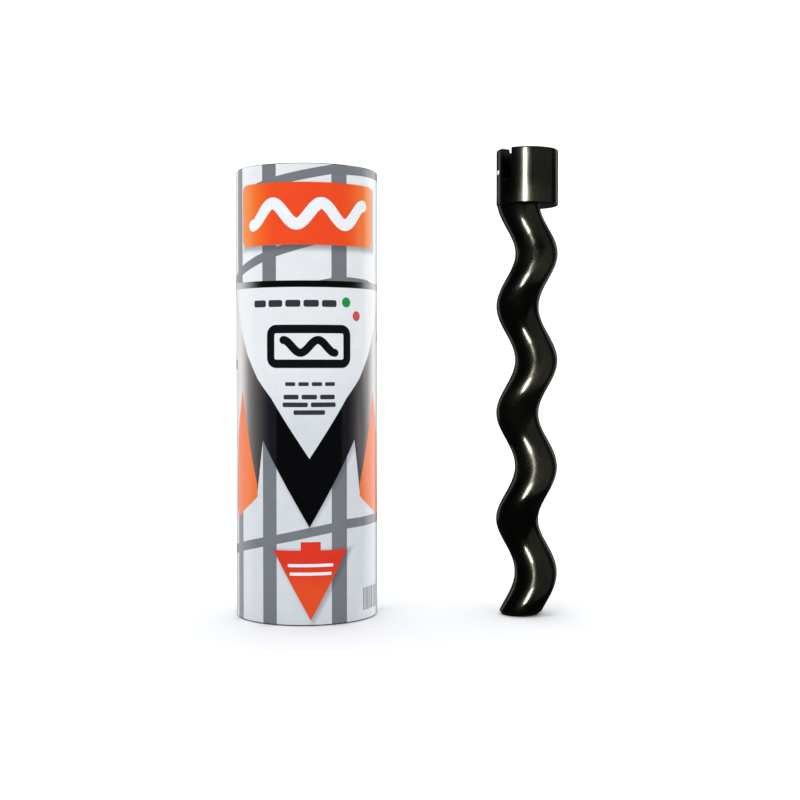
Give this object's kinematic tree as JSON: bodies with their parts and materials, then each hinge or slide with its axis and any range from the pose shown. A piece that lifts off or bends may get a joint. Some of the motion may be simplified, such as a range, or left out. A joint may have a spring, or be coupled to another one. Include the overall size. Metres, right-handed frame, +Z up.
{
  "type": "eccentric screw pump rotor and stator set",
  "caption": "Wear set of an eccentric screw pump: a labelled steel tube with a moulded rubber double-helix cavity, and a single-helix steel rotor with a slotted drive socket.",
  "frame": {"origin": "centre of the stator's outlet end, on the barrel's axis and on the plane that both pieces stand on", "axes": "+Z up along the stator's and the rotor's axes, from outlet to inlet; +X from the stator towards the rotor; -Y faces the viewer and carries the middle of the label"},
  "size_m": [0.1749, 0.0764, 0.252],
  "materials": {
    "tube_steel": "satin",
    "liner_rubber": "matte",
    "label_film": "satin",
    "rotor_steel": "gloss",
    "head_steel": "gloss",
    "pin_steel": "polished"
  },
  "bodies": {
    "stator": {"stator_tube": "tube_steel", "stator_liner": "liner_rubber", "label_wrap": "label_film"},
    "rotor": {"rotor_screw": "rotor_steel", "rotor_head": "head_steel", "locking_pin": "pin_steel"}
  },
  "joints": [
    {"name": "rotor_spin", "type": "hinge", "parent": "stator", "child": "rotor", "pos_m": [0.12, 0, 0], "axis": [0, 0, 1], "continuous": true}
  ]
}
